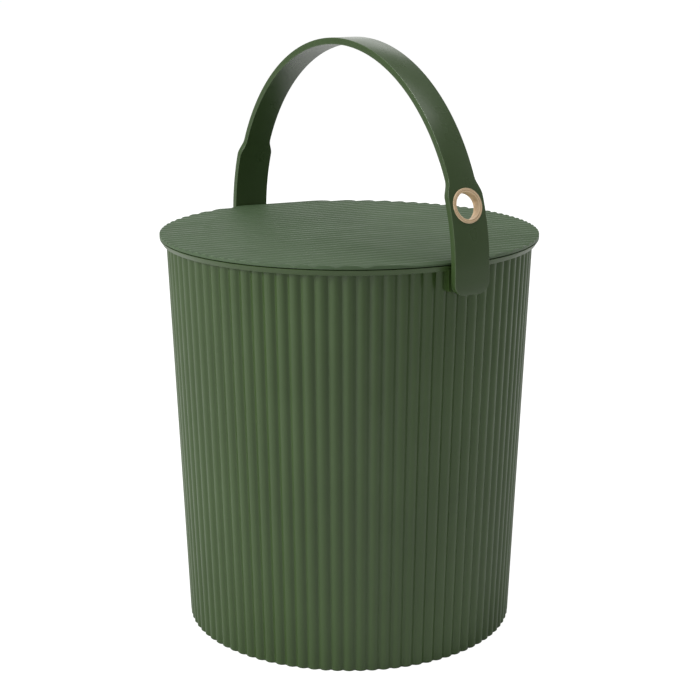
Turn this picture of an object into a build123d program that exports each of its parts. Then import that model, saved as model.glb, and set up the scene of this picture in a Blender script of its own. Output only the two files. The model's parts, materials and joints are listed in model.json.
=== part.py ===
from build123d import *
from math import atan, cos, degrees, pi, radians, sin
import os

# Lidded bucket in ribbed moulded plastic, in millimetres.
# The origin is the middle of the foot, +Z is up, and the handle turns about a line along X.

# Bucket wall
body_height = 347.0            # foot to the rim's top face
foot_radius = 145.8            # over the rib crests at the foot
neck_radius = 159.3            # over the rib crests under the rim
rib_count = 90
rib_depth = 2.0
valley_round = 1.4             # radius of the groove between two ribs
wall = 2.4                     # behind the grooves
foot_bevel = 0.9

# Rim
rim_overhang = 5.7             # rim's edge beyond the ribs under it
rim_depth = 4.8
rim_taper = 2.2                # how far the rim's face draws in downwards
rim_chamfer = 1.1              # lower edge of the rim
rim_edge_chamfer = 0.4         # upper edge of the rim
mouth_chamfer = 0.8

# Floor
floor_thickness = 3.0
foot_recess = 3.0              # the floor stands this far above the table
foot_ring_width = 5.0
inner_corner = 8.0

# Pivots
pivot_drop = 13.0              # rim's top face down to the handle's axis
pad_half_width = 16.0
pad_below_pivot = 8.8
pad_corner = 3.0
pad_setback = 0.4              # pad face behind the rim's edge
peg_radius = 6.0
peg_length = 7.5               # reach into the pad
peg_chamfer = 1.0
peg_clearance = 0.05
socket_end_gap = 0.5

# Lid
lid_edge = 3.2                 # height of the edge that shows
lid_gap = 0.8                  # shadow gap between the lid's edge and the rim
lid_seat_margin = 3.0          # width of the edge that stands clear of the rim
lid_rib_pitch = 9.4
lid_rib_depth = 1.9
lid_valley_round = 1.3
lid_round = 1.1                # soft corner round the lid's top
lid_turn = -9.4                # degrees that the lid lies turned from the handle
skirt_height = 12.0
skirt_thickness = 2.0
skirt_clearance = 0.8
stiffener_count = 8
stiffener_height = 6.0
stiffener_thickness = 1.8
stiffener_hub_radius = 45.0

# Handle
handle_clearance = 3.7         # lid's edge to the handle's inner face
strap_thickness = 5.6
strap_width = 25.6
tab_width = 34.0
tab_below_pivot = 10.4
tab_corner = 9.5
arch_rise = 7.5                # centre of the arch above the pivot
shoulder_height = 66.0         # pivot up to where the tab narrows
shoulder_length = 13.5
strap_round = 1.2
collar_radius = 11.0
collar_gap = 0.3

# Eyelet in one tab
eyelet_angle = 17.4            # degrees up the arch from its centre
bore_radius = 10.9
sleeve_wall = 1.1
sleeve_clearance = 0.1
front_flange_radius = 14.1
front_flange_height = 0.9
back_ring_radius = 13.6
back_ring_height = 1.3
eyelet_round = 0.55
seat_clearance = 0.05

# Sizes that follow from these
rim_radius = neck_radius + rim_overhang
rim_under = body_height - rim_depth
floor_top = foot_recess + floor_thickness
pivot_height = body_height - pivot_drop
pad_face = rim_radius - pad_setback
arch_height = pivot_height + arch_rise
arch_inner = rim_radius + handle_clearance
arch_outer = arch_inner + strap_thickness
lid_top = body_height + lid_gap + lid_edge
socket_bottom = pad_face - peg_length - socket_end_gap


def crest_radius(z):
    return foot_radius + (neck_radius - foot_radius) * z / rim_under


def inner_radius(z):
    return crest_radius(z) - rib_depth - wall


def rib_flank(half_pitch, depth, groove):
    """Where a rib's crest arc meets the groove's arc: sideways offset and drop from the crest."""
    slope = 2 * atan(depth / half_pitch)
    crest = half_pitch / sin(slope) - groove
    return crest * sin(slope), crest * (1 - cos(slope))


def on_circle(radius, angle, z):
    return Vector(radius * cos(radians(angle)), radius * sin(radians(angle)), z)


def rib_outline(radius, z):
    """Closed outline of broad convex ribs with a narrow groove between each two."""
    step = 360 / rib_count
    side, drop = rib_flank(radius * pi / rib_count, rib_depth, valley_round)
    flank = degrees(side / radius)
    edges = []
    for rib in range(rib_count):
        crest = (rib + 0.5) * step
        left = on_circle(radius - drop, crest - flank, z)
        right = on_circle(radius - drop, crest + flank, z)
        valley = on_circle(radius - rib_depth, crest + step / 2, z)
        following = on_circle(radius - drop, crest + step - flank, z)
        edges.append(ThreePointArc(left, on_circle(radius, crest, z), right))
        edges.append(ThreePointArc(right, valley, following))
    return Wire(edges)


def revolved(points):
    """Solid of revolution about Z from (radius, height) points."""
    profile = make_face(Polyline(*[(r, 0, z) for r, z in points], close=True))
    return revolve(profile, Axis.Z, 360)


def ribbed_wall():
    """The outside of the bucket: a small bevel at the foot, then straight tapering ribs."""
    top = body_height - rim_depth / 2
    sections = [
        rib_outline(foot_radius - foot_bevel, 0),
        rib_outline(crest_radius(foot_bevel), foot_bevel),
        rib_outline(crest_radius(top), top),
    ]
    return Solid.make_loft(sections, ruled=True)


def rim():
    """Flange that draws in towards its lower edge."""
    inside = inner_radius(rim_under) + wall / 2
    low_edge = rim_radius - rim_taper
    return revolved([
        (inside, rim_under),
        (low_edge - rim_chamfer, rim_under),
        (low_edge, rim_under + rim_chamfer),
        (rim_radius, body_height - rim_edge_chamfer),
        (rim_radius - rim_edge_chamfer, body_height),
        (inside, body_height),
    ])


def cavity():
    """The hollow inside, with a rounded corner at the floor and a chamfered mouth."""
    mouth = inner_radius(body_height)
    above = body_height + mouth_chamfer
    hollow = revolved([
        (0, floor_top),
        (inner_radius(floor_top), floor_top),
        (mouth, body_height),
        (mouth, above),
        (0, above),
    ])
    corner = hollow.edges().filter_by(GeomType.CIRCLE).sort_by(Axis.Z)[0]
    hollow = fillet(corner, inner_corner)
    return hollow + revolved([
        (0, body_height - mouth_chamfer),
        (inner_radius(body_height - mouth_chamfer), body_height - mouth_chamfer),
        (mouth + 2 * mouth_chamfer, above),
        (0, above),
    ])


def pivot_pad(side):
    """Flat pad under the rim that fills the ribs behind a handle tab."""
    bottom = pivot_height - pad_below_pivot
    top = body_height - rim_depth / 2
    inside = inner_radius(bottom) + wall / 2
    outline = Pos(0, 0, (bottom + top) / 2) * (
        Plane.YZ * RectangleRounded(2 * pad_half_width, top - bottom, pad_corner)
    )
    pad = extrude(Pos(inside, 0, 0) * outline, amount=pad_face - inside, dir=(1, 0, 0))
    return pad if side > 0 else mirror(pad, Plane.YZ)


def pivot_axis_cylinder(radius, start, end, side):
    """Cylinder on the handle's axis, from one distance off the middle to another."""
    disc = Plane.YZ.offset(start) * Circle(radius)
    rod = Pos(0, 0, pivot_height) * extrude(disc, amount=end - start, dir=(1, 0, 0))
    return rod if side > 0 else mirror(rod, Plane.YZ)


def socket(side):
    """Blind hole in a pad for the handle's peg, with an entry chamfer."""
    hole = peg_radius + peg_clearance
    bore = pivot_axis_cylinder(hole, socket_bottom, rim_radius + 1, side)
    entry = pad_face - peg_chamfer
    cone = Pos(0, 0, pivot_height) * loft([
        Plane.YZ.offset(side * entry) * Circle(hole),
        Plane.YZ.offset(side * (pad_face + peg_chamfer)) * Circle(hole + 2 * peg_chamfer),
    ])
    return bore + cone


def make_bucket_body():
    shell = ribbed_wall() + rim() + pivot_pad(1) + pivot_pad(-1)
    shell -= cavity()
    recess = inner_radius(0) + wall - foot_ring_width
    shell -= extrude(Circle(recess), amount=foot_recess)
    for side in (1, -1):
        shell -= socket(side)
    return shell


def lid_rib_profile():
    """Section across the lid's ribs: arcs from crest to groove over a flat underside."""
    half = lid_rib_pitch / 2
    side, drop = rib_flank(half, lid_rib_depth, lid_valley_round)
    reach = int(rim_radius / lid_rib_pitch) + 1
    curve = []
    for rib in range(-reach, reach + 1):
        crest = rib * lid_rib_pitch
        left = (crest - side, lid_top - drop)
        right = (crest + side, lid_top - drop)
        curve.append(ThreePointArc(left, (crest, lid_top), right))
        if rib < reach:
            following = (crest + lid_rib_pitch - side, lid_top - drop)
            curve.append(ThreePointArc(right, (crest + half, lid_top - lid_rib_depth), following))
    low = body_height - 2 * skirt_height
    start = curve[0] @ 0
    end = curve[-1] @ 1
    curve.append(Line((end.X, end.Y), (end.X, low)))
    curve.append(Line((end.X, low), (start.X, low)))
    curve.append(Line((start.X, low), (start.X, start.Y)))
    return make_face(Wire(curve))


def lid_envelope():
    """Round plate with a seat on the rim, a shadow gap outside it and a skirt inside."""
    skirt_top = inner_radius(body_height) - skirt_clearance
    skirt_foot = inner_radius(body_height - skirt_height) - skirt_clearance
    seat = rim_radius - lid_seat_margin
    edge = body_height + lid_gap
    section = [
        Line((0, body_height), (skirt_top - skirt_thickness, body_height)),
        Line((skirt_top - skirt_thickness, body_height),
             (skirt_foot - skirt_thickness, body_height - skirt_height)),
        Line((skirt_foot - skirt_thickness, body_height - skirt_height),
             (skirt_foot, body_height - skirt_height)),
        Line((skirt_foot, body_height - skirt_height), (skirt_top, body_height)),
        Line((skirt_top, body_height), (seat, body_height)),
        Line((seat, body_height), (seat, edge)),
        Line((seat, edge), (rim_radius, edge)),
        Line((rim_radius, edge), (rim_radius, lid_top - lid_round)),
        RadiusArc((rim_radius, lid_top - lid_round), (rim_radius - lid_round, lid_top), -lid_round),
        Line((rim_radius - lid_round, lid_top), (0, lid_top)),
        Line((0, lid_top), (0, body_height)),
    ]
    return revolve(Plane.XZ * make_face(Wire(section)), Axis.Z, 360)


def lid_stiffeners():
    """Hub ring and straight ribs under the plate, so that the lid doesn't sag."""
    skirt_inside = inner_radius(body_height - skirt_height) - skirt_clearance - skirt_thickness / 2
    bottom = body_height - stiffener_height
    hub = Circle(stiffener_hub_radius) - Circle(stiffener_hub_radius - stiffener_thickness)
    length = skirt_inside - stiffener_hub_radius + stiffener_thickness / 2
    middle = stiffener_hub_radius - stiffener_thickness / 2 + length / 2
    pattern = hub
    for rib in range(stiffener_count):
        turn = Rot(0, 0, rib * 360 / stiffener_count)
        pattern += turn * Pos(middle, 0) * Rectangle(length, stiffener_thickness)
    overlap = lid_edge - lid_rib_depth
    return extrude(Pos(0, 0, bottom) * pattern, amount=stiffener_height + overlap)


def make_lid():
    reach = rim_radius + lid_rib_pitch
    ribs = extrude(Plane.XZ * lid_rib_profile(), amount=reach, both=True)
    plate = (lid_envelope() & ribs) + lid_stiffeners()
    return Rot(0, 0, lid_turn) * plate


def handle_arch():
    """Side view of the handle: two straight legs joined by a half circle."""
    bottom = pivot_height - tab_below_pivot
    legs = Pos(0, (bottom + arch_height) / 2) * Rectangle(2 * arch_outer, arch_height - bottom)
    outside = Pos(0, arch_height) * Circle(arch_outer) + legs
    inner_legs = Pos(0, (bottom + arch_height) / 2) * Rectangle(2 * arch_inner, arch_height - bottom)
    inside = Pos(0, arch_height) * Circle(arch_inner) + inner_legs
    side_view = outside - inside
    return extrude(Plane.XZ * side_view, amount=tab_width, both=True)


def handle_outline():
    """End view of the handle: rounded tab, curved shoulders and a narrower strap above."""
    tab = tab_width / 2
    strap = strap_width / 2
    bottom = pivot_height - tab_below_pivot
    low = pivot_height + shoulder_height
    high = low + shoulder_length
    top = arch_height + arch_outer + strap_thickness
    middle = Vector((tab + strap) / 2, (low + high) / 2)
    lower = TangentArc((tab, low), (middle.X, middle.Y), tangent=(0, 1))
    upper = TangentArc((strap, high), (middle.X, middle.Y), tangent=(0, -1))
    corner = tab - tab_corner
    right = [
        Line((0, bottom), (corner, bottom)),
        RadiusArc((corner, bottom), (tab, bottom + tab_corner), -tab_corner),
        Line((tab, bottom + tab_corner), (tab, low)),
        lower,
        upper,
        Line((strap, high), (strap, top)),
        Line((strap, top), (0, top)),
    ]
    half = make_face(Wire(right + [Line((0, top), (0, bottom))]))
    both = half + mirror(half, Plane.YZ)
    return extrude(Plane.YZ * both, amount=2 * arch_outer, both=True)


def eyelet_place():
    """Where the eyelet's axis leaves the strap, pointing out of it."""
    direction = Vector(cos(radians(eyelet_angle)), 0, sin(radians(eyelet_angle)))
    origin = Vector(0, 0, arch_height) + direction * arch_outer
    return Plane(origin=origin, x_dir=(0, 1, 0), z_dir=direction)


def make_handle():
    strap = handle_arch() & handle_outline()
    strap = fillet(strap.edges(), strap_round)
    for side in (1, -1):
        collar = pivot_axis_cylinder(collar_radius, pad_face + collar_gap, arch_inner + 1, side)
        peg = pivot_axis_cylinder(peg_radius, pad_face - peg_length, arch_inner + 1, side)
        tip = peg.faces().sort_by(Axis.X)[0 if side > 0 else -1]
        strap += collar + chamfer(tip.edges(), peg_chamfer)
    hole = bore_radius + sleeve_wall + sleeve_clearance
    depth = 2 * strap_thickness
    return strap - eyelet_place() * Pos(0, 0, -depth) * Cylinder(
        hole, 2 * depth, align=(Align.CENTER, Align.CENTER, Align.MIN))


def strap_surface(radius):
    """Cylinder that follows one face of the strap's arch."""
    return Pos(0, 0, arch_height) * Rot(90, 0, 0) * Cylinder(radius, 2 * tab_width)


def ring(outer, inner, low, high):
    """Flat ring on the eyelet's axis, between two heights over the strap's outer face."""
    blank = Circle(outer) - Circle(inner)
    return extrude(Pos(0, 0, low) * blank, amount=high - low)


def eyelet_back():
    return -strap_thickness - back_ring_height


def make_eyelet_front():
    """Flange that follows the strap's outer face, with a sleeve through the hole."""
    sleeve_radius = bore_radius + sleeve_wall
    flange = ring(front_flange_radius, bore_radius, -strap_thickness / 2, front_flange_height)
    top = flange.faces().sort_by(Axis.Z)[-1]
    flange = fillet(top.edges(), eyelet_round)
    flange = eyelet_place() * flange - strap_surface(arch_outer + seat_clearance)
    return flange + eyelet_place() * ring(sleeve_radius, bore_radius, eyelet_back(), 0)


def make_eyelet_back_ring():
    """Ring round the sleeve's end that follows the strap's inner face."""
    inner = bore_radius + sleeve_wall + seat_clearance
    blank = ring(back_ring_radius, inner, eyelet_back(), -strap_thickness / 2)
    outer_edge = blank.edges().filter_by(GeomType.CIRCLE).group_by(Axis.Z)[0]
    blank = fillet(outer_edge.sort_by(SortBy.LENGTH)[-1], eyelet_round)
    return eyelet_place() * blank & strap_surface(arch_inner - seat_clearance)


pieces = {
    "bucket_body": make_bucket_body,
    "lid": make_lid,
    "handle": make_handle,
    "eyelet_front": make_eyelet_front,
    "eyelet_back_ring": make_eyelet_back_ring,
}

os.makedirs("parts", exist_ok=True)
for name, make in pieces.items():
    export_step(make(), f"parts/{name}.step")
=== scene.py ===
# %% [markdown]
# # A lidded bucket with a swinging handle
#
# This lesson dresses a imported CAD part. The bucket, its lid, its handle and the two halves of the
# eyelet come in as fixed solids in metres, with +Z up, the foot's middle at the origin and the
# handle turning about a line along X. Each is then modelled again as a maker would by hand, with
# softer corners and smooth shading, in exactly the place that its solid holds.

import json
import math

import bpy
from mathutils import Matrix, Vector

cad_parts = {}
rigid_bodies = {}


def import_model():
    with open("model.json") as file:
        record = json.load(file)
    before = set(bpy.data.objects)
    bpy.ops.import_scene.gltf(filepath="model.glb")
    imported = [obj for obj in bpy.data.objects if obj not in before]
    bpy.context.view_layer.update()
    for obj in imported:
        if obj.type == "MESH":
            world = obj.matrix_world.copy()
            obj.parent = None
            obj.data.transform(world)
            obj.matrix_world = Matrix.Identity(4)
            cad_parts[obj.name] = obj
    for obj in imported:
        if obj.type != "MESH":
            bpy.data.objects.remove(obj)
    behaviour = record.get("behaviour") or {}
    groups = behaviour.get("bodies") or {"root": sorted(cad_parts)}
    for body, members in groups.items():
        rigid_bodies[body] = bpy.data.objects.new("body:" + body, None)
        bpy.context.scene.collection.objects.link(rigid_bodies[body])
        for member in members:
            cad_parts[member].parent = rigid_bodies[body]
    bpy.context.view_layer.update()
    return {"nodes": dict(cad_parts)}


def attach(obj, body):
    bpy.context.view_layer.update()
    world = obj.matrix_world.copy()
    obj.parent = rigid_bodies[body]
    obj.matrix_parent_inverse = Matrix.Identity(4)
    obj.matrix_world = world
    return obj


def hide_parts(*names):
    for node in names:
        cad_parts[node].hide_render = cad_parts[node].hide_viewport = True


for thing in list(bpy.data.objects):
    bpy.data.objects.remove(thing)
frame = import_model()
mm = 0.001
print("nodes:", sorted(frame["nodes"]))

# %% [markdown]
# ## The sizes
#
# All sizes are in millimetres, as a mould maker writes them, and are turned into metres where a
# tool needs them. They are the sizes of the solids, so each new piece lies where its solid is.

# %% Sizes of the bucket, the lid and the handle
body_height = 347.0
foot_radius = 145.8
neck_radius = 159.3
rib_count = 90
rib_depth = 2.0
groove_round = 1.4
wall = 2.4
foot_bevel = 0.9

rim_radius = 165.0
rim_depth = 4.8
rim_under = body_height - rim_depth
floor_top = 6.0
foot_recess = 3.0
foot_ring_width = 5.0
inner_corner = 8.0

pivot_height = 334.0
pad_face = 164.6

lid_low = 347.8
lid_top = 351.0
lid_turn = -9.4

arch_height = 341.5
arch_inner = 168.7
arch_outer = 174.3
eyelet_angle = 17.4
print("bucket", body_height, "mm high,", 2 * rim_radius, "mm over the rim")


def crest_radius(z):
    return foot_radius + (neck_radius - foot_radius) * z / rim_under


def inner_radius(z):
    return crest_radius(z) - rib_depth - wall


# %% [markdown]
# ## The camera
#
# The photograph looks down on the near tab by about 14 degrees from 1.5 m away, through a long
# lens. A camera could be moved by eye until the picture looks right. Here its place, turn and lens
# are those that lay the outlines of the lid and the foot where the photograph has them.

# %% Camera
look_down = 14.24
look_round = 56.1
camera_data = bpy.data.cameras.new("photo_camera")
camera_data.sensor_width = 36.0
camera_data.lens = 82.1
camera_data.shift_x = 0.0011
camera = bpy.data.objects.new("photo_camera", camera_data)
camera.location = (1.1446, -0.7692, 0.5918)
camera.rotation_euler = (math.radians(90 - look_down), 0, math.radians(look_round))
bpy.context.scene.collection.objects.link(camera)
bpy.context.scene.camera = camera
print("camera at", tuple(round(c, 3) for c in camera.location))

# %% [markdown]
# ## Helpers for modelling
#
# An operator works on whatever is selected, and the CAD nodes are selected when they arrive. So
# each step first selects only what it is about to shape.


# %% Selecting
def only(piece):
    """Make this the one selected and active object."""
    bpy.ops.object.select_all(action="DESELECT")
    piece.select_set(True)
    bpy.context.view_layer.objects.active = piece


def pick_points(piece, wanted):
    """Go into edit mode with just the vertices selected whose place passes the test."""
    if bpy.context.mode != "OBJECT":
        bpy.ops.object.mode_set(mode="OBJECT")
    mesh = piece.data
    for part in (mesh.polygons, mesh.edges):
        part.foreach_set("select", [False] * len(part))
    mesh.vertices.foreach_set("select", [bool(wanted(v.co)) for v in mesh.vertices])
    bpy.ops.object.mode_set(mode="EDIT")
    bpy.ops.mesh.select_mode(type="VERT")


def pick_faces(piece, wanted):
    """Go into edit mode with just the faces selected whose middle and normal pass the test."""
    if bpy.context.mode != "OBJECT":
        bpy.ops.object.mode_set(mode="OBJECT")
    mesh = piece.data
    for part in (mesh.vertices, mesh.edges):
        part.foreach_set("select", [False] * len(part))
    chosen = [bool(wanted(face.center, face.normal)) for face in mesh.polygons]
    mesh.polygons.foreach_set("select", chosen)
    bpy.ops.object.mode_set(mode="EDIT")
    bpy.ops.mesh.select_mode(type="FACE")


# %% [markdown]
# Round mouldings are shaped like work on a lathe. A ring of points is extruded, moved and widened
# from one pair of radius and height to the next. A third helper makes a scalloped ring round.


# %% Rings on a lathe
def ring_to(radius, z, old_radius, old_z):
    """Extrude the selected ring and move it to a new radius and height, both in millimetres."""
    bpy.ops.mesh.extrude_region_move(TRANSFORM_OT_translate={"value": (0, 0, (z - old_z) * mm)})
    factor = radius / old_radius
    bpy.ops.transform.resize(value=(factor, factor, 1), center_override=(0, 0, z * mm))


def lathe_on(profile, start):
    """Carry the selected ring through (radius, height) pairs, as a profile on a lathe."""
    radius, z = start
    for new_radius, new_z in profile:
        ring_to(new_radius, new_z, radius, z)
        radius, z = new_radius, new_z


def round_ring_to(piece, radius, z):
    """Extrude the selected scalloped ring in its own plane and make the new one round."""
    bpy.ops.mesh.extrude_region_move(TRANSFORM_OT_translate={"value": (0, 0, 0)})
    bpy.ops.transform.tosphere(value=1)
    bpy.ops.object.mode_set(mode="OBJECT")
    ring = [v.co.xy.length for v in piece.data.vertices if v.select]
    bpy.ops.object.mode_set(mode="EDIT")
    factor = radius * mm / (sum(ring) / len(ring))
    bpy.ops.transform.resize(value=(factor, factor, 1), center_override=(0, 0, z * mm))


# %% [markdown]
# The last helpers combine shapes and finish a mesh. A finished piece's object sits at the origin,
# so a shape's place, turn and size are put into its mesh once it is in position.


# %% Combining and finishing
def apply_modifier(piece, kind, **settings):
    """Add a modifier, set it and apply it."""
    only(piece)
    modifier = piece.modifiers.new(kind.lower(), kind)
    for key, value in settings.items():
        setattr(modifier, key, value)
    bpy.ops.object.modifier_apply(modifier=modifier.name)


def combine(piece, tool, how):
    """Join, cut or intersect a piece with a tool shape, and throw the tool away."""
    apply_modifier(piece, "BOOLEAN", object=tool, operation=how, solver="EXACT")
    bpy.data.objects.remove(tool)


def outward(piece):
    """Merge doubles and point every face outwards."""
    if bpy.context.mode != "OBJECT":
        bpy.ops.object.mode_set(mode="OBJECT")
    only(piece)
    bpy.ops.object.mode_set(mode="EDIT")
    bpy.ops.mesh.select_all(action="SELECT")
    bpy.ops.mesh.remove_doubles(threshold=1e-6)
    bpy.ops.mesh.normals_make_consistent(inside=False)
    bpy.ops.object.mode_set(mode="OBJECT")


def place_in_mesh(piece):
    """Put the object's place, turn and size into its mesh."""
    only(piece)
    bpy.ops.object.transform_apply(location=True, rotation=True, scale=True)


def added(name):
    """Name the primitive that was just added."""
    piece = bpy.context.active_object
    piece.name = name
    piece.data.name = name
    return piece


def report(piece):
    """Print a piece's size and its number of faces."""
    box = [round(side / mm, 1) for side in piece.dimensions]
    print(piece.name, box, "mm,", len(piece.data.polygons), "faces")


# %% [markdown]
# ## The ribbed bucket
#
# The real bucket is one moulding: a tapering wall of 90 broad, rounded ribs with a narrow groove
# between each two, a plain rim, a floor and a foot ring. It could be one rib copied round, but
# then 90 seams would have to close. A ring of points drawn into a flower shape and carried
# upwards has no seams, so the wall starts as a circle of 12 points to each rib.

# %% The foot's scalloped outline
points_per_rib = 12
half_pitch = foot_radius * math.pi / rib_count
rib_slope = 2 * math.atan(rib_depth / half_pitch)
crest_round = half_pitch / math.sin(rib_slope) - groove_round


def rib_drop(step):
    """How far a rib's surface lies under its crest, at a number of points from the groove."""
    from_groove = step * 2 * half_pitch / points_per_rib
    if from_groove < groove_round * math.sin(rib_slope):
        return rib_depth - groove_round + math.sqrt(groove_round ** 2 - from_groove ** 2)
    return crest_round - math.sqrt(crest_round ** 2 - (half_pitch - from_groove) ** 2)


start_radius = foot_radius - foot_bevel
bpy.ops.object.select_all(action="DESELECT")
bpy.ops.mesh.primitive_circle_add(vertices=rib_count * points_per_rib, radius=start_radius * mm)
bucket = added("bucket_ribbed")
degrees_per_point = 360 / (rib_count * points_per_rib)


def steps_from_groove(place):
    """Points between this one and the nearest groove, round the ring."""
    along = math.degrees(math.atan2(place.y, place.x)) / degrees_per_point
    step = round(along) % points_per_rib
    return min(step, points_per_rib - step)


for step in range(points_per_rib // 2):
    pick_points(bucket, lambda place: steps_from_groove(place) == step)
    factor = (start_radius - rib_drop(step)) / start_radius
    bpy.ops.transform.resize(value=(factor, factor, 1), center_override=(0, 0, 0))
bpy.ops.object.mode_set(mode="OBJECT")
report(bucket)

# %% [markdown]
# The ring is now carried up the wall, as a profile on a lathe. Under the rim it has to become
# round again. To Sphere does that: it moves each point of a flat ring to the same distance from
# the middle.

# %% Wall
rim_root = 161.7
pick_points(bucket, lambda place: True)
foot_crest = crest_radius(foot_bevel)
lathe_on([(foot_crest, foot_bevel), (neck_radius, rim_under)], (start_radius, 0))
round_ring_to(bucket, rim_root, rim_under)
print("wall from", start_radius, "to", neck_radius, "mm in radius,", rim_under, "mm high")

# %% [markdown]
# The rim is a plain band whose corners are softened by short sloping faces. From its top the same
# profile runs down the smooth inside, round the corner and over the floor. Two more rings there
# keep the faces from being long slivers, and merging the last ring closes the middle.

# %% Rim, inside and floor
floor_rings = (90.0, 30.0)
mouth = inner_radius(body_height)
corner_middle = floor_top + inner_corner
side_radius = inner_radius(corner_middle)
corner = []
for turn in (18, 36, 54, 72, 90):
    sideways = inner_corner * (1 - math.cos(math.radians(turn)))
    down = inner_corner * math.sin(math.radians(turn))
    corner.append((side_radius - sideways, corner_middle - down))
rim_profile = [
    (rim_root + 0.6, rim_under + 0.25), (rim_root + 1.1, rim_under + 1.1),
    (rim_radius - 0.15, body_height - 0.6), (rim_radius - 0.05, body_height - 0.25),
    (rim_radius - 0.4, body_height), (mouth + 0.9, body_height),
    (mouth + 0.3, body_height - 0.25), (mouth, body_height - 0.9),
]
lathe_on(rim_profile + [(side_radius, corner_middle)] + corner, (rim_root, rim_under))
lathe_on([(radius, floor_top) for radius in floor_rings], corner[-1])
bpy.ops.mesh.merge(type="CENTER")
bpy.ops.object.mode_set(mode="OBJECT")
report(bucket)

# %% [markdown]
# The foot is a ring 5 mm wide that the bucket stands on. Behind it the floor is 3 mm higher, as
# on most moulded buckets, so that a slightly bent floor can't make it rock.

# %% Foot ring and underside
foot_edge = 0.4
pick_points(bucket, lambda place: place.z < 1e-6)
recess = inner_radius(0) + wall - foot_ring_width
round_ring_to(bucket, recess + foot_edge, 0)
under = [(recess, foot_edge), (recess, foot_recess)]
under += [(radius, foot_recess) for radius in floor_rings]
lathe_on(under, (recess + foot_edge, 0))
bpy.ops.mesh.merge(type="CENTER")
outward(bucket)
report(bucket)

# %% [markdown]
# Under the rim, behind each tab of the handle, the ribs run into a flat pad with a blind hole
# for the handle's peg. The pad is a box whose corners are rounded, and which is united with the
# wall. Only the four edges that run inwards, along X, are bevelled.

# %% Pivot pads
pad_low = 325.2
pad_high = 344.6
pad_root = 156.0
pad_width = 32.0
pad_corner = 3.0


def pad_box(side):
    """Box from inside the wall to the pad's face, with rounded corners."""
    middle = ((pad_root + pad_face) / 2 * side, 0, (pad_low + pad_high) / 2)
    bpy.ops.object.select_all(action="DESELECT")
    bpy.ops.mesh.primitive_cube_add(size=1, location=[c * mm for c in middle])
    pad = added("pad")
    pad.scale = ((pad_face - pad_root) * mm, pad_width * mm, (pad_high - pad_low) * mm)
    place_in_mesh(pad)
    edges = pad.data.edges
    along = [abs(pad.data.vertices[e.vertices[0]].co.x - pad.data.vertices[e.vertices[1]].co.x)
             for e in edges]
    bpy.ops.object.mode_set(mode="EDIT")
    bpy.ops.mesh.select_all(action="DESELECT")
    bpy.ops.mesh.select_mode(type="EDGE")
    bpy.ops.object.mode_set(mode="OBJECT")
    edges.foreach_set("select", [length > mm for length in along])
    bpy.ops.object.mode_set(mode="EDIT")
    bpy.ops.mesh.bevel(offset=pad_corner * mm, segments=5)
    bpy.ops.object.mode_set(mode="OBJECT")
    return pad


print("pads", pad_width, "mm wide,", pad_high - pad_low, "mm high")

# %% [markdown]
# The peg's hole is blind, so the wall behind it stays closed, and its mouth is widened to lead the
# peg in. A drill of that shape is turned on the lathe, laid along X and taken out of the pad.

# %% Sockets for the pegs
socket_radius = 6.05
socket_depth = 8.0
socket_lead = 1.0
peg_sides = 64


def drill(side):
    """Cylinder with a widened mouth, lying along the handle's axis."""
    bpy.ops.object.select_all(action="DESELECT")
    bpy.ops.mesh.primitive_circle_add(vertices=peg_sides, radius=socket_radius * mm,
                                      fill_type="NGON")
    tool = added("drill")
    pick_points(tool, lambda place: True)
    lead_start = (socket_radius, socket_depth - socket_lead)
    lead_end = (socket_radius + 2 * socket_lead, socket_depth + socket_lead)
    lathe_on([lead_start, lead_end], (socket_radius, 0))
    outward(tool)
    tool.rotation_euler = (0, side * math.pi / 2, 0)
    tool.location = (side * (pad_face - socket_depth) * mm, 0, pivot_height * mm)
    place_in_mesh(tool)
    return tool


for side in (1, -1):
    combine(bucket, pad_box(side), "UNION")
    combine(bucket, drill(side), "DIFFERENCE")
report(bucket)

# %% [markdown]
# ## The lid
#
# The lid is a flat round plate, moulded with straight rounded ribs across its top. They run out
# over its edge, which is why the edge shows a row of small half moons. Array repeats one rib, and
# an intersection with a round plate then cuts all of them to the edge at once, as a cutter would.

# %% One lid rib, repeated
lid_rib_pitch = 9.4
lid_rib_depth = 1.9
lid_groove_round = 1.3
lid_ribs_across = 37
lid_rib_length = 350.0
slab_bottom = 330.0
columns = 10
lid_slope = 2 * math.atan(lid_rib_depth / (lid_rib_pitch / 2))
lid_crest_round = lid_rib_pitch / 2 / math.sin(lid_slope) - lid_groove_round


def lid_rib_drop(from_crest):
    """How far the lid's surface lies under a rib's crest, at a distance beside it."""
    from_groove = lid_rib_pitch / 2 - from_crest
    if from_groove < lid_groove_round * math.sin(lid_slope):
        rise = lid_groove_round - math.sqrt(lid_groove_round ** 2 - from_groove ** 2)
        return lid_rib_depth - rise
    return lid_crest_round - math.sqrt(lid_crest_round ** 2 - from_crest ** 2)


bpy.ops.object.select_all(action="DESELECT")
bpy.ops.mesh.primitive_grid_add(x_subdivisions=columns, y_subdivisions=1, size=1)
lid_ribs = added("lid_ribs")
lid_ribs.scale = (lid_rib_pitch * mm, lid_rib_length * mm, 1)
lid_ribs.location = (-(lid_ribs_across - 1) / 2 * lid_rib_pitch * mm, 0, lid_top * mm)
first_crest = lid_ribs.location.x
place_in_mesh(lid_ribs)
for column in range(columns // 2 + 1):
    beside = column * lid_rib_pitch / columns
    pick_points(lid_ribs, lambda p: abs(abs(p.x - first_crest) / mm - beside) < 0.1)
    bpy.ops.transform.translate(value=(0, 0, -lid_rib_drop(beside) * mm))
bpy.ops.object.mode_set(mode="OBJECT")
apply_modifier(lid_ribs, "ARRAY", count=lid_ribs_across, use_merge_vertices=True,
               merge_threshold=1e-5)
pick_points(lid_ribs, lambda p: True)
slab_depth = lid_top - slab_bottom
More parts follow.
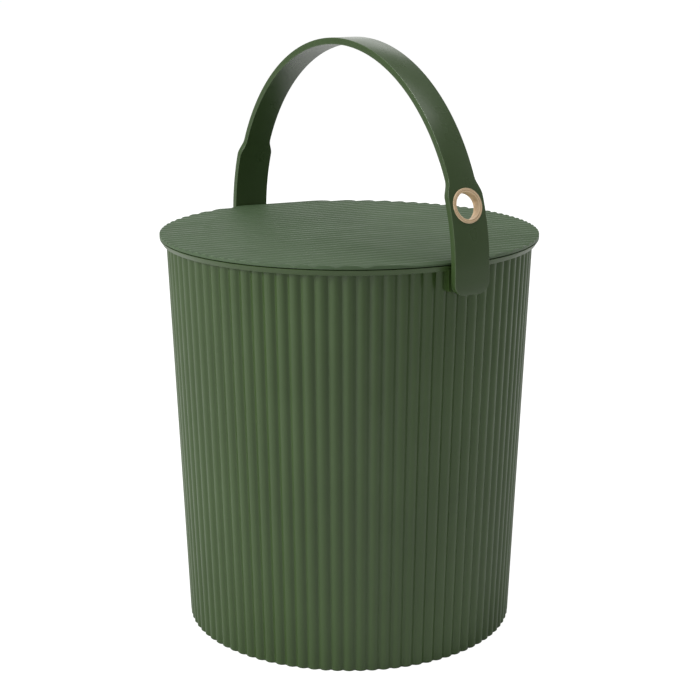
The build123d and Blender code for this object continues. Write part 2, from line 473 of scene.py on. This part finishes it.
bpy.ops.mesh.extrude_region_move(TRANSFORM_OT_translate={"value": (0, 0, -slab_depth * mm)})
bpy.ops.transform.resize(value=(1, 1, 0), center_override=(0, 0, slab_bottom * mm))
outward(lid_ribs)
report(lid_ribs)

# %% [markdown]
# The plate starts as a thin cylinder. Its top corner is rounded, and its underside is inset and
# extruded step by step: a narrow edge that stands clear of the rim, the seat that rests on it, a
# skirt that keeps the lid in place, and a hub ring.

# %% The lid's round plate
lid_edge_round = 0.8
lid_margin = 3.0
skirt_clearance = 0.8
skirt_thick = 2.0
skirt_depth = 12.0
skirt_taper = 0.997
hub_radius = 45.0
hub_thick = 1.8
hub_depth = 6.0
bpy.ops.object.select_all(action="DESELECT")
bpy.ops.mesh.primitive_cylinder_add(
    vertices=360, radius=rim_radius * mm, depth=(lid_top - lid_low) * mm,
    location=(0, 0, (lid_top + lid_low) / 2 * mm))
lid = added("lid_ribbed")
place_in_mesh(lid)
pick_faces(lid, lambda middle, normal: normal.z > 0.9)
bpy.ops.mesh.bevel(offset=lid_edge_round * mm, segments=4, affect="EDGES")
skirt_radius = mouth - skirt_clearance
seat_depth = lid_low - body_height
pick_faces(lid, lambda middle, normal: normal.z < -0.9)
bpy.ops.mesh.inset(thickness=lid_margin * mm)
bpy.ops.mesh.extrude_region_move(TRANSFORM_OT_translate={"value": (0, 0, -seat_depth * mm)})
bpy.ops.mesh.inset(thickness=(rim_radius - lid_margin - skirt_radius) * mm)
bpy.ops.mesh.inset(thickness=skirt_thick * mm)
bpy.ops.mesh.inset(thickness=(skirt_radius - skirt_thick - hub_radius) * mm)
bpy.ops.mesh.inset(thickness=hub_thick * mm)


def on_ring(middle, normal, outside, inside):
    """Whether a face looks down from the seat's level, between two radii."""
    low_enough = normal.z < -0.9 and middle.z < (body_height + 0.1) * mm
    return low_enough and inside * mm < middle.xy.length < outside * mm


pick_faces(lid, lambda m, n: on_ring(m, n, skirt_radius, skirt_radius - skirt_thick))
bpy.ops.mesh.extrude_region_move(TRANSFORM_OT_translate={"value": (0, 0, -skirt_depth * mm)})
bpy.ops.transform.resize(value=(skirt_taper, skirt_taper, 1), center_override=(0, 0, 0))
pick_faces(lid, lambda m, n: on_ring(m, n, hub_radius, hub_radius - hub_thick))
bpy.ops.mesh.extrude_region_move(TRANSFORM_OT_translate={"value": (0, 0, -hub_depth * mm)})
outward(lid)
report(lid)

# %% [markdown]
# Eight straight ribs run from the hub ring to the skirt and stiffen the plate. One bar is added and
# the others are turned copies of it. Then the ribbed slab cuts the top, and the whole lid is turned
# to the way its ribs lie in the photograph.

# %% Stiffening ribs, then the ribs on top
stiffener_count = 8
stiffener_thick = 1.8
stiffener_low = 341.0
stiffener_high = 348.0
skirt_bite = 0.8
bpy.ops.object.select_all(action="DESELECT")
hub_middle = hub_radius - hub_thick / 2
reach = skirt_radius - skirt_thick + skirt_bite - hub_middle
bpy.ops.mesh.primitive_cube_add(size=1, location=(
    (hub_middle + reach / 2) * mm, 0, (stiffener_low + stiffener_high) / 2 * mm))
stiffeners = added("stiffeners")
stiffeners.scale = (reach * mm, stiffener_thick * mm, (stiffener_high - stiffener_low) * mm)
place_in_mesh(stiffeners)
pick_points(stiffeners, lambda p: True)
for copy in range(stiffener_count - 1):
    bpy.ops.mesh.duplicate()
    bpy.ops.transform.rotate(value=math.radians(360 / stiffener_count), orient_axis="Z",
                             center_override=(0, 0, 0))
bpy.ops.object.mode_set(mode="OBJECT")
combine(lid, stiffeners, "UNION")
combine(lid, lid_ribs, "INTERSECT")
lid.rotation_euler = (0, 0, math.radians(lid_turn))
place_in_mesh(lid)
report(lid)

# %% [markdown]
# ## The handle
#
# The handle is a broad strap, moulded in one with the tabs at its ends and the pegs that it turns
# on. One tab is drawn upwards from its rounded foot, and Spin carries the same section round a
# quarter circle to the top of the arch. The other half is its mirror image.

# %% One tab and a quarter of the arch
arch_steps = 120
tab_half = 17.0
strap_half = 12.8
tab_corner = 9.5
tab_foot = 323.6
strap_thickness = arch_outer - arch_inner
bpy.ops.object.select_all(action="DESELECT")
bpy.ops.mesh.primitive_plane_add(
    size=1, location=((arch_inner + arch_outer) / 2 * mm, 0, tab_foot * mm))
handle = added("handle_strap")
handle.scale = (strap_thickness * mm, 2 * (tab_half - tab_corner) * mm, 1)
place_in_mesh(handle)
pick_points(handle, lambda p: True)
bpy.ops.mesh.select_mode(type="FACE")
half, z = tab_half - tab_corner, tab_foot
for turn in (15, 30, 45, 60, 75, 90):
    new_half = tab_half - tab_corner + tab_corner * math.sin(math.radians(turn))
    new_z = tab_foot + tab_corner * (1 - math.cos(math.radians(turn)))
    bpy.ops.mesh.extrude_region_move(TRANSFORM_OT_translate={"value": (0, 0, (new_z - z) * mm)})
    bpy.ops.transform.resize(value=(1, new_half / half, 1), center_override=(0, 0, 0))
    half, z = new_half, new_z
bpy.ops.mesh.extrude_region_move(TRANSFORM_OT_translate={"value": (0, 0, (arch_height - z) * mm)})
bpy.ops.mesh.spin(steps=arch_steps, angle=math.pi / 2, center=(0, 0, arch_height * mm),
                  axis=(0, 1, 0))
bpy.ops.object.mode_set(mode="OBJECT")
report(handle)

# %% [markdown]
# Above the lid the tab narrows to the strap with a soft shoulder. Each section of the arch is
# drawn in a little more than the one before it, until all of the strap has its own width.

# %% Shoulders
shoulder_low = 400.0
shoulder_high = 413.5


def strap_width_at(z):
    """Half width of the handle at a height: the tab, an S-shaped shoulder, then the strap."""
    part = min(max((z - shoulder_low) / (shoulder_high - shoulder_low), 0), 1)
    return tab_half - (tab_half - strap_half) * part * part * (3 - 2 * part)


middle_line = (arch_inner + arch_outer) / 2
degrees_per_step = 90 / arch_steps
for step in range(arch_steps + 1):
    angle = step * degrees_per_step
    width = strap_width_at(arch_height + middle_line * math.sin(math.radians(angle)))
    if width == tab_half:
        continue

    def on_section(place):
        turned = math.degrees(math.atan2(place.z - arch_height * mm, place.x))
        return abs(turned - angle) < 0.4 * degrees_per_step

    pick_points(handle, on_section)
    bpy.ops.transform.resize(value=(1, width / tab_half, 1), center_override=(0, 0, 0))
print("strap", 2 * strap_half, "mm wide, tabs", 2 * tab_half, "mm wide")

# %% [markdown]
# The end face at the top of the arch goes, because the mirrored half joins on there. Bevel then
# rounds every sharp edge and gives the rounded strips the second material, a paler green that is a
# painted highlight along the edges.

# %% The other half and rounded edges
handle_edge_round = 1.2
sharp_from = 50
pick_faces(handle, lambda middle, normal: abs(middle.x) < 1e-5)
bpy.ops.mesh.delete(type="FACE")
bpy.ops.object.mode_set(mode="OBJECT")
apply_modifier(handle, "MIRROR", use_axis=(True, False, False), merge_threshold=1e-5)
outward(handle)
while len(handle.data.materials) < 2:
    handle.data.materials.append(None)
# The second material on the rounded strips is a paler green, a painted highlight along the edges.
apply_modifier(handle, "BEVEL", width=handle_edge_round * mm, segments=4, limit_method="ANGLE",
               angle_limit=math.radians(sharp_from), material=1)
report(handle)

# %% [markdown]
# Each tab carries a round collar that keeps it off the bucket's rim, and a peg that turns in the
# pad behind it. Both are one turned shape.

# %% Pegs and collars
peg_radius = 6.0
peg_lead = 1.0
peg_end = 157.1
collar_radius = 11.0
collar_edge = 0.3
collar_gap = 0.3
collar_sink = 1.0


def turned_peg(side):
    """Peg with a chamfered end, widening to the collar, which sinks into the tab."""
    bpy.ops.object.select_all(action="DESELECT")
    bpy.ops.mesh.primitive_circle_add(vertices=peg_sides, radius=(peg_radius - peg_lead) * mm,
                                      fill_type="NGON")
    peg = added("peg")
    pick_points(peg, lambda p: True)
    collar_start = pad_face + collar_gap - peg_end
    collar_finish = arch_inner + collar_sink - peg_end
    outline = [
        (peg_radius, peg_lead), (peg_radius, collar_start),
        (collar_radius - collar_edge, collar_start), (collar_radius, collar_start + collar_edge),
        (collar_radius, collar_finish),
    ]
    lathe_on(outline, (peg_radius - peg_lead, 0))
    outward(peg)
    peg.rotation_euler = (0, side * math.pi / 2, 0)
    peg.location = (side * peg_end * mm, 0, pivot_height * mm)
    place_in_mesh(peg)
    return peg


for side in (1, -1):
    combine(handle, turned_peg(side), "UNION")
report(handle)

# %% [markdown]
# A hole through the near tab takes the eyelet. It points outwards from the arch's middle, a little
# upwards, so one matrix holds its place and direction for the hole and for both halves.

# %% The eyelet's hole
eyelet_hole_radius = 12.1
hole_length = 30.0
tilt = math.radians(eyelet_angle)
outwards = Vector((math.cos(tilt), 0, math.sin(tilt)))
eyelet_spot = Vector((0, 0, arch_height * mm)) + outwards * arch_outer * mm
eyelet_place = Matrix((
    (0, -math.sin(tilt), math.cos(tilt), eyelet_spot.x),
    (1, 0, 0, eyelet_spot.y),
    (0, math.cos(tilt), math.sin(tilt), eyelet_spot.z),
    (0, 0, 0, 1),
))
bpy.ops.object.select_all(action="DESELECT")
bpy.ops.mesh.primitive_cylinder_add(vertices=96, radius=eyelet_hole_radius * mm,
                                    depth=hole_length * mm)
hole = added("eyelet_hole")
hole.matrix_world = eyelet_place
place_in_mesh(hole)
combine(handle, hole, "DIFFERENCE")
report(handle)

# %% [markdown]
# ## The eyelet
#
# The eyelet is a light, wood-coloured ring in two halves: a flange with a sleeve from outside and
# a ring that clips round the sleeve's end from inside. Each is turned from a circle. The faces
# that touch the strap follow its curve, so their points are lowered to it.


# %% Turning a ring
def strap_curve(across, face_radius, gap):
    """Height of the strap's face over the eyelet's own level, at a distance along the arch."""
    return math.sqrt((face_radius + gap) ** 2 - across ** 2) - arch_outer


def turned_ring(name, profile, face_radius, gap, seat):
    """Turn a closed profile, bend its seat to the strap's curve and put it in the tab."""
    bpy.ops.object.select_all(action="DESELECT")
    radius, z = profile[0]
    bpy.ops.mesh.primitive_circle_add(vertices=128, radius=radius * mm, location=(0, 0, z * mm))
    turned = added(name)
    place_in_mesh(turned)
    pick_points(turned, lambda p: True)
    lathe_on(profile[1:] + profile[:1], profile[0])
    outward(turned)
    for point in turned.data.vertices:
        if abs(point.co.z / mm - seat) < 0.01:
            point.co.z = strap_curve(point.co.y / mm, face_radius, gap) * mm
    turned.matrix_world = eyelet_place
    place_in_mesh(turned)
    return turned


def rounded(radius, z, size, start, steps=5):
    """Points of a quarter round about a middle, from a starting angle in degrees."""
    return [(radius + size * math.cos(math.radians(start - turn * 90 / steps)),
             z + size * math.sin(math.radians(start - turn * 90 / steps)))
            for turn in range(steps + 1)]


# %% [markdown]
# Heights are measured from the eyelet's own level, where the strap's outer face is, and count
# outwards. The flange has a rounded lip at the bore, a fine groove and a rounded rim.

# %% The two halves
bore_radius = 10.9
sleeve_radius = 12.0
sleeve_end = -6.9
flange_radius = 14.1
flange_seat = -0.1
flange_round = 0.85
lip_round = 0.7
groove_radius = 12.35
groove_half = 0.2
back_radius = 13.6
back_round = 0.55
ring_seat = -5.7
clip_gap = 0.05
strap_gap = 0.05
front_profile = [
    (bore_radius, sleeve_end), *rounded(bore_radius + lip_round, 0.1, lip_round, 180),
    (groove_radius - groove_half, 0.8), (groove_radius, 0.5), (groove_radius + groove_half, 0.78),
    *rounded(flange_radius - flange_round, 0.05, flange_round, 90),
    (flange_radius, flange_seat), (sleeve_radius, flange_seat), (sleeve_radius, sleeve_end),
]
back_profile = [
    (sleeve_radius + clip_gap, sleeve_end), (sleeve_radius + clip_gap, ring_seat),
    (back_radius, ring_seat),
    *rounded(back_radius - back_round, sleeve_end + back_round, back_round, 0),
]
eyelet_front = turned_ring("eyelet_flange", front_profile, arch_outer, strap_gap, flange_seat)
eyelet_back = turned_ring("eyelet_ring", back_profile, arch_inner, -strap_gap, ring_seat)
report(eyelet_front)
report(eyelet_back)

# %% [markdown]
# ## The finishes
#
# All green pieces are moulded plastic with a fine grain. The lid is the dullest of them, and its
# paler, bluer green is painted sheen. The handle is the smoothest, and the paler green on its
# rounded edges is a painted highlight. No moulding is one flat colour: the pigment clouds a little,
# with fine pale specks, and the sheen varies. Each finish is mixed from noise that is fixed to the
# piece, so nothing slides.


# %% A moulded plastic
def moulded_plastic(name, deep, pale, sheen, grain):
    """Clouded colour between two shades, with pale specks, uneven sheen and fine grain."""
    material = bpy.data.materials.new(name)
    material.use_nodes = True
    nodes, links = material.node_tree.nodes, material.node_tree.links
    surface = nodes["Principled BSDF"]
    place = nodes.new("ShaderNodeTexCoord").outputs["Object"]

    def noise(scale, detail):
        cloud = nodes.new("ShaderNodeTexNoise")
        cloud.inputs["Scale"].default_value = scale
        cloud.inputs["Detail"].default_value = detail
        links.new(place, cloud.inputs["Vector"])
        return cloud.outputs["Fac"]

    def spread(value, low, high, to_low, to_high):
        stretch = nodes.new("ShaderNodeMapRange")
        for socket, number in zip(stretch.inputs[1:5], (low, high, to_low, to_high)):
            socket.default_value = number
        links.new(value, stretch.inputs[0])
        return stretch.outputs[0]

    def blend(amount, first, second):
        mix = nodes.new("ShaderNodeMix")
        mix.data_type = "RGBA"
        links.new(amount, mix.inputs["Factor"])
        for socket, colour in zip(mix.inputs[6:8], (first, second)):
            if isinstance(colour, tuple):
                socket.default_value = (*colour, 1)
            else:
                links.new(colour, socket)
        return mix.outputs[2]

    clouds = noise(scale=11, detail=4)
    specks = noise(scale=1400, detail=1)
    patches = noise(scale=34, detail=3)
    pits = noise(scale=1100, detail=2)
    clouded = blend(spread(clouds, 0.3, 0.7, 0, 1), deep, pale)
    speckled = blend(spread(specks, 0.45, 0.75, 0, 0.3), clouded, pale)
    links.new(speckled, surface.inputs["Base Color"])
    links.new(spread(patches, 0.3, 0.7, *sheen), surface.inputs["Roughness"])
    bump = nodes.new("ShaderNodeBump")
    bump.inputs["Strength"].default_value = grain
    bump.inputs["Distance"].default_value = 0.05 * mm
    links.new(pits, bump.inputs["Height"])
    links.new(bump.outputs["Normal"], surface.inputs["Normal"])
    return material


green = moulded_plastic(
    "green_plastic", (0.033, 0.066, 0.013), (0.041, 0.079, 0.018), (0.33, 0.41), 0.2)
# The lid's green is paler and bluer than the bucket's: painted sheen, the grey shine across its
# top.
lid_green_painted_sheen = moulded_plastic(
    "lid_plastic", (0.044, 0.082, 0.031), (0.056, 0.100, 0.042), (0.46, 0.56), 0.3)
handle_green = moulded_plastic(
    "handle_plastic", (0.033, 0.061, 0.016), (0.040, 0.073, 0.022), (0.26, 0.33), 0.1)
# A paler green for the handle's rounded edges: a painted highlight that runs along them.
painted_edge_highlight = moulded_plastic(
    "handle_edge", (0.062, 0.098, 0.042), (0.078, 0.118, 0.056), (0.22, 0.28), 0.15)
print("finishes:", green.name, lid_green_painted_sheen.name, handle_green.name, painted_edge_highlight.name)


# %% [markdown]
# The eyelet has the colour of pale wood. Rings round its own axis, broken up by noise, give fine
# turned lines on its face and inside its hole.


# %% A pale wood tone
def wood_tone(name):
    """Pale brown between two shades, with rings round the eyelet's axis and a shallow grain."""
    material = bpy.data.materials.new(name)
    material.use_nodes = True
    nodes, links = material.node_tree.nodes, material.node_tree.links
    surface = nodes["Principled BSDF"]
    place = nodes.new("ShaderNodeTexCoord").outputs["Object"]
    centred = nodes.new("ShaderNodeMapping")
    centred.vector_type = "TEXTURE"
    centred.inputs["Location"].default_value = eyelet_spot
    centred.inputs["Rotation"].default_value = (0, math.pi / 2 - tilt, 0)
    links.new(place, centred.inputs["Vector"])
    rings = nodes.new("ShaderNodeTexWave")
    rings.wave_type = "RINGS"
    rings.rings_direction = "Z"
    for socket, number in (("Scale", 210), ("Distortion", 3), ("Detail", 3), ("Detail Scale", 0.6)):
        rings.inputs[socket].default_value = number
    links.new(centred.outputs["Vector"], rings.inputs["Vector"])
    grain = nodes.new("ShaderNodeTexNoise")
    grain.inputs["Scale"].default_value = 160
    grain.inputs["Detail"].default_value = 5
    links.new(centred.outputs["Vector"], grain.inputs["Vector"])
    shades = nodes.new("ShaderNodeValToRGB")
    shades.color_ramp.elements[0].color = (0.42, 0.27, 0.14, 1)
    shades.color_ramp.elements[1].color = (0.82, 0.64, 0.42, 1)
    both = nodes.new("ShaderNodeMix")
    both.inputs["Factor"].default_value = 0.4
    links.new(rings.outputs["Fac"], both.inputs["A"])
    links.new(grain.outputs["Fac"], both.inputs["B"])
    links.new(both.outputs["Result"], shades.inputs["Fac"])
    links.new(shades.outputs["Color"], surface.inputs["Base Color"])
    surface.inputs["Roughness"].default_value = 0.48
    bump = nodes.new("ShaderNodeBump")
    bump.inputs["Strength"].default_value = 0.3
    bump.inputs["Distance"].default_value = 0.05 * mm
    links.new(both.outputs["Result"], bump.inputs["Height"])
    links.new(bump.outputs["Normal"], surface.inputs["Normal"])
    return material


pale_wood = wood_tone("wood_tone_plastic")
print("finish:", pale_wood.name)

# %% [markdown]
# ## Dressing the pieces
#
# Each new piece gets its finish, is smoothed where its faces meet at a small angle, rides on the
# body that its solid belongs to, and takes that solid's place in the picture.

# %% Dress each piece and tie it to its body
smooth_below = 33
dressed = (
    (bucket, [green], "bucket", "bucket_body", "green_plastic"),
    (lid, [lid_green_painted_sheen], "lid", "lid", "lid_plastic"),
    (handle, [handle_green, painted_edge_highlight], "handle", "handle", "handle_plastic"),
    (eyelet_front, [pale_wood], "handle", "eyelet_front", "wood_tone_plastic"),
    (eyelet_back, [pale_wood], "handle", "eyelet_back_ring", "wood_tone_plastic"),
)
for piece, finishes, body, node, slot in dressed:
    only(piece)
    bpy.ops.object.shade_smooth_by_angle(angle=math.radians(smooth_below))
    while len(piece.data.materials) < len(finishes):
        piece.data.materials.append(None)
    for number, finish in enumerate(finishes):
        piece.data.materials[number] = finish
    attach(piece, body)
    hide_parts(node)
    report(piece)

# %% [markdown]
# ## The studio
#
# The photograph has a plain white ground and broad soft light, strongest from the upper left. Large
# lamps give it. The white comes from the floor's and the world's own colour as the camera sees
# them, so the bucket isn't lit more than its colours need.


# %% Background
def white_to_the_eye(tree, lit_shader, seen_shader, output):
    """Use one shader for light, and another for what is seen straight or through clear things."""
    rays = tree.nodes.new("ShaderNodeLightPath")
    seen = tree.nodes.new("ShaderNodeMath")
    seen.operation = "MAXIMUM"
    tree.links.new(rays.outputs["Is Camera Ray"], seen.inputs[0])
    tree.links.new(rays.outputs["Is Transmission Ray"], seen.inputs[1])
    mix = tree.nodes.new("ShaderNodeMixShader")
    tree.links.new(seen.outputs[0], mix.inputs["Fac"])
    tree.links.new(lit_shader, mix.inputs[1])
    tree.links.new(seen_shader, mix.inputs[2])
    tree.links.new(mix.outputs[0], output)


white = (1, 1, 1, 1)
bpy.context.scene.view_settings.view_transform = "Standard"
world = bpy.data.worlds.new("studio")
bpy.context.scene.world = world
world.use_nodes = True
tree = world.node_tree
lit = tree.nodes["Background"]
lit.inputs["Color"].default_value = white
lit.inputs["Strength"].default_value = 0.34
seen = tree.nodes.new("ShaderNodeBackground")
seen.inputs["Color"].default_value = white
seen.inputs["Strength"].default_value = 1.0
white_to_the_eye(tree, lit.outputs[0], seen.outputs[0],
                 tree.nodes["World Output"].inputs["Surface"])
print("world lights with", lit.inputs["Strength"].default_value)

# %% [markdown]
# The floor lights the bucket as a matt, pale grey plane. To the camera it is a nearly white glow
# with a faint grey on top.

# %% Floor
bpy.ops.object.select_all(action="DESELECT")
bpy.ops.mesh.primitive_plane_add(size=80)
floor = added("studio_floor")
floor_white = bpy.data.materials.new("floor_white")
floor_white.use_nodes = True
tree = floor_white.node_tree
matt = tree.nodes["Principled BSDF"]
matt.inputs["Base Color"].default_value = (0.8, 0.8, 0.8, 1)
matt.inputs["Roughness"].default_value = 0.9
glow = tree.nodes.new("ShaderNodeEmission")
glow.inputs["Strength"].default_value = 0.93
faint = tree.nodes.new("ShaderNodeBsdfDiffuse")
faint.inputs["Color"].default_value = (0.25, 0.25, 0.25, 1)
shadowed = tree.nodes.new("ShaderNodeAddShader")
tree.links.new(glow.outputs[0], shadowed.inputs[0])
tree.links.new(faint.outputs[0], shadowed.inputs[1])
white_to_the_eye(tree, matt.outputs[0], shadowed.outputs[0],
                 tree.nodes["Material Output"].inputs["Surface"])
floor.data.materials.append(floor_white)
print("floor", tuple(floor.dimensions), "m")

# %% [markdown]
# The key lamp is the strongest for its size and stands to the left of the camera. The others fill
# the side, the top and the back, and a small low one picks out edges.

# %% Lamps
lamp_target = Vector((0, 0, 0.25))


def soft_lamp(name, place, size, power):
    """A square soft box that faces the middle of the bucket, and that the camera doesn't see."""
    data = bpy.data.lights.new(name, "AREA")
    data.size = size
    data.energy = power
    lamp = bpy.data.objects.new(name, data)
    lamp.location = place
    lamp.visible_camera = False
    aim = lamp_target - lamp.location
    lamp.rotation_euler = aim.to_track_quat("-Z", "Y").to_euler()
    bpy.context.scene.collection.objects.link(lamp)


soft_lamp("key", (-0.5, -1.9, 1.3), 0.9, 37)
soft_lamp("side", (0.2, 2.2, 0.9), 1.0, 12)
soft_lamp("top", (0.2, 0.1, 2.2), 1.6, 19)
soft_lamp("edge", (1.0, -2.1, 0.45), 0.4, 3)
soft_lamp("behind", (-2.6, 0.9, 0.9), 3.0, 26)
print("lamps:", sorted(light.name for light in bpy.data.lights))
